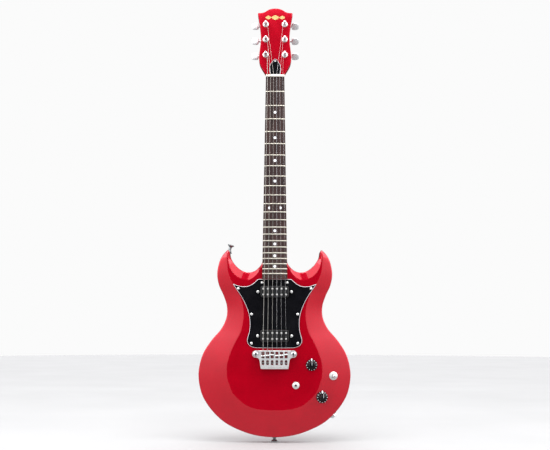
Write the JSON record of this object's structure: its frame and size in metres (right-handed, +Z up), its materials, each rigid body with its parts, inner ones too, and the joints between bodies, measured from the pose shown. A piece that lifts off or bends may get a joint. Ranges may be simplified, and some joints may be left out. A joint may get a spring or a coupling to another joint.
{
  "type": "electric guitar",
  "caption": "Solid-body electric guitar with a double-cutaway red body, black pickguard, fixed bridge, rosewood fingerboard and chrome tuners.",
  "frame": {"origin": "neck centre line, in the plane where the fingerboard is glued on, at the nut's front edge; the yoke of a wall hanger holds the guitar there, under the headstock", "axes": "+Z up the neck to the headstock, front faces -Y, +X to the right of a person who looks at the front"},
  "size_m": [0.3378, 0.061, 1.0037],
  "materials": {
    "red_lacquer": "solid wood under deep cherry-red gloss lacquer",
    "rosewood": "open-pored, satin",
    "bone": "polished cream",
    "steel": "plain steel",
    "string_steel": "wound and plain wire",
    "pickup_core": "steel poles in black bobbins",
    "black_plastic": "gloss black",
    "grey_plastic": "satin dark grey",
    "chrome": "polished",
    "cast_aluminium": "polished casting",
    "brass": "plain turned",
    "felt": "black felt"
  },
  "bodies": {
    "guitar": {"body": "red_lacquer", "neck": "red_lacquer", "fingerboard": "rosewood", "nut": "bone", "truss_rod": "steel", "truss_rod_cover": "black_plastic", "truss_cover_screw": "chrome", "pickguard": "black_plastic", "control_cover": "black_plastic", "bridge": "cast_aluminium", "string_1": "string_steel", "string_2": "string_steel", "string_3": "string_steel", "string_4": "string_steel", "string_5": "string_steel", "string_6": "string_steel", "bridge_stud_left": "chrome", "bridge_stud_right": "chrome", "bridge_bushing_left": "brass", "bridge_bushing_right": "brass", "tuner_1_housing": "chrome", "tuner_2_housing": "chrome", "tuner_3_housing": "chrome", "tuner_4_housing": "chrome", "tuner_5_housing": "chrome", "tuner_6_housing": "chrome", "volume_pot": "steel", "tone_pot": "steel", "selector_case": "chrome", "coil_switch_case": "chrome", "output_jack": "chrome", "strap_button_upper": "chrome", "strap_felt": "felt", "strap_button_end": "chrome"},
    "tuner_1_button": {"tuner_1_button": "chrome"},
    "tuner_1_post": {"tuner_1_post": "chrome"},
    "tuner_2_button": {"tuner_2_button": "chrome"},
    "tuner_2_post": {"tuner_2_post": "chrome"},
    "tuner_3_button": {"tuner_3_button": "chrome"},
    "tuner_3_post": {"tuner_3_post": "chrome"},
    "tuner_4_button": {"tuner_4_button": "chrome"},
    "tuner_4_post": {"tuner_4_post": "chrome"},
    "tuner_5_button": {"tuner_5_button": "chrome"},
    "tuner_5_post": {"tuner_5_post": "chrome"},
    "tuner_6_button": {"tuner_6_button": "chrome"},
    "tuner_6_post": {"tuner_6_post": "chrome"},
    "volume": {"volume_knob": "black_plastic", "volume_shaft": "brass"},
    "tone": {"tone_knob": "black_plastic", "tone_shaft": "brass"},
    "selector_lever": {"selector_lever": "chrome"},
    "coil_switch_lever": {"coil_switch_lever": "chrome"},
    "neck_pickup": {"neck_pickup_cover": "grey_plastic", "neck_pickup_core": "pickup_core"},
    "neck_height_screw_left": {"neck_height_screw_left": "chrome"},
    "neck_height_screw_right": {"neck_height_screw_right": "chrome"},
    "bridge_pickup": {"bridge_pickup_cover": "grey_plastic", "bridge_pickup_core": "pickup_core"},
    "bridge_height_screw_left": {"bridge_height_screw_left": "chrome"},
    "bridge_height_screw_right": {"bridge_height_screw_right": "chrome"}
  },
  "joints": [
    {"name": "tuner_1_button_turn", "type": "hinge", "parent": "guitar", "child": "tuner_1_button", "pos_m": [-0.02245, 0.02536, 0.06075], "axis": [1, 0, 0], "continuous": true},
    {"name": "tuner_1_post_turn", "type": "hinge", "parent": "guitar", "child": "tuner_1_post", "pos_m": [-0.02245, 0.00538, 0.05722], "axis": [0, 0.9945, -0.1045], "continuous": true},
    {"name": "tuner_2_button_turn", "type": "hinge", "parent": "guitar", "child": "tuner_2_button", "pos_m": [-0.02245, 0.02947, 0.09988], "axis": [1, 0, 0], "continuous": true},
    {"name": "tuner_2_post_turn", "type": "hinge", "parent": "guitar", "child": "tuner_2_post", "pos_m": [-0.02245, 0.0095, 0.09635], "axis": [0, 0.9945, -0.1045], "continuous": true},
    {"name": "tuner_3_button_turn", "type": "hinge", "parent": "guitar", "child": "tuner_3_button", "pos_m": [-0.02245, 0.03359, 0.13902], "axis": [1, 0, 0], "continuous": true},
    {"name": "tuner_3_post_turn", "type": "hinge", "parent": "guitar", "child": "tuner_3_post", "pos_m": [-0.02245, 0.01361, 0.13549], "axis": [0, 0.9945, -0.1045], "continuous": true},
    {"name": "tuner_4_button_turn", "type": "hinge", "parent": "guitar", "child": "tuner_4_button", "pos_m": [0.02245, 0.03359, 0.13902], "axis": [1, 0, 0], "continuous": true},
    {"name": "tuner_4_post_turn", "type": "hinge", "parent": "guitar", "child": "tuner_4_post", "pos_m": [0.02245, 0.01361, 0.13549], "axis": [0, 0.9945, -0.1045], "continuous": true},
    {"name": "tuner_5_button_turn", "type": "hinge", "parent": "guitar", "child": "tuner_5_button", "pos_m": [0.02245, 0.02947, 0.09988], "axis": [1, 0, 0], "continuous": true},
    {"name": "tuner_5_post_turn", "type": "hinge", "parent": "guitar", "child": "tuner_5_post", "pos_m": [0.02245, 0.0095, 0.09635], "axis": [0, 0.9945, -0.1045], "continuous": true},
    {"name": "tuner_6_button_turn", "type": "hinge", "parent": "guitar", "child": "tuner_6_button", "pos_m": [0.02245, 0.02536, 0.06075], "axis": [1, 0, 0], "continuous": true},
    {"name": "tuner_6_post_turn", "type": "hinge", "parent": "guitar", "child": "tuner_6_post", "pos_m": [0.02245, 0.00538, 0.05722], "axis": [0, 0.9945, -0.1045], "continuous": true},
    {"name": "volume_turn", "type": "hinge", "parent": "guitar", "child": "volume", "pos_m": [0.082, 0.004, -0.658], "axis": [0, -1, 0], "range_deg": [-150, 150]},
    {"name": "tone_turn", "type": "hinge", "parent": "guitar", "child": "tone", "pos_m": [0.1045, 0.00658, -0.7275], "axis": [0.1476, -0.9877, -0.0521], "range_deg": [-150, 150]},
    {"name": "selector_tilt", "type": "hinge", "parent": "guitar", "child": "selector_lever", "pos_m": [0.12951, 0.01105, -0.68145], "axis": [0.9881, 0.154, 0.0011], "range_deg": [-13, 13]},
    {"name": "coil_switch_tilt", "type": "hinge", "parent": "guitar", "child": "coil_switch_lever", "pos_m": [0.047, 0.0072, -0.7023], "axis": [1, 0, 0], "range_deg": [-12, 12]},
    {"name": "neck_pickup_height", "type": "slide", "parent": "guitar", "child": "neck_pickup", "axis": [0, -1, 0], "range_m": [-0.002, 0.002]},
    {"name": "neck_height_screw_left_turn", "type": "hinge", "parent": "guitar", "child": "neck_height_screw_left", "pos_m": [-0.0374, 0, -0.497], "axis": [0, -1, 0], "range_deg": [-1030, 1030]},
    {"name": "neck_height_screw_right_turn", "type": "hinge", "parent": "guitar", "child": "neck_height_screw_right", "pos_m": [0.0374, 0, -0.497], "axis": [0, -1, 0], "range_deg": [-1030, 1030]},
    {"name": "bridge_pickup_height", "type": "slide", "parent": "guitar", "child": "bridge_pickup", "axis": [0, -1, 0], "range_m": [-0.002, 0.002]},
    {"name": "bridge_height_screw_left_turn", "type": "hinge", "parent": "guitar", "child": "bridge_height_screw_left", "pos_m": [-0.0374, 0, -0.5946], "axis": [0, -1, 0], "range_deg": [-1030, 1030]},
    {"name": "bridge_height_screw_right_turn", "type": "hinge", "parent": "guitar", "child": "bridge_height_screw_right", "pos_m": [0.0374, 0, -0.5946], "axis": [0, -1, 0], "range_deg": [-1030, 1030]}
  ],
  "couplings": [
    {"joint": "tuner_1_post_turn", "follows": "tuner_1_button_turn", "ratio": 0.066667},
    {"joint": "tuner_2_post_turn", "follows": "tuner_2_button_turn", "ratio": 0.066667},
    {"joint": "tuner_3_post_turn", "follows": "tuner_3_button_turn", "ratio": 0.066667},
    {"joint": "tuner_4_post_turn", "follows": "tuner_4_button_turn", "ratio": -0.066667},
    {"joint": "tuner_5_post_turn", "follows": "tuner_5_button_turn", "ratio": -0.066667},
    {"joint": "tuner_6_post_turn", "follows": "tuner_6_button_turn", "ratio": -0.066667},
    {"joint": "neck_height_screw_left_turn", "follows": "neck_pickup_height", "rad_per_m": 8976},
    {"joint": "neck_height_screw_right_turn", "follows": "neck_pickup_height", "rad_per_m": 8976},
    {"joint": "bridge_height_screw_left_turn", "follows": "bridge_pickup_height", "rad_per_m": 8976},
    {"joint": "bridge_height_screw_right_turn", "follows": "bridge_pickup_height", "rad_per_m": 8976}
  ]
}
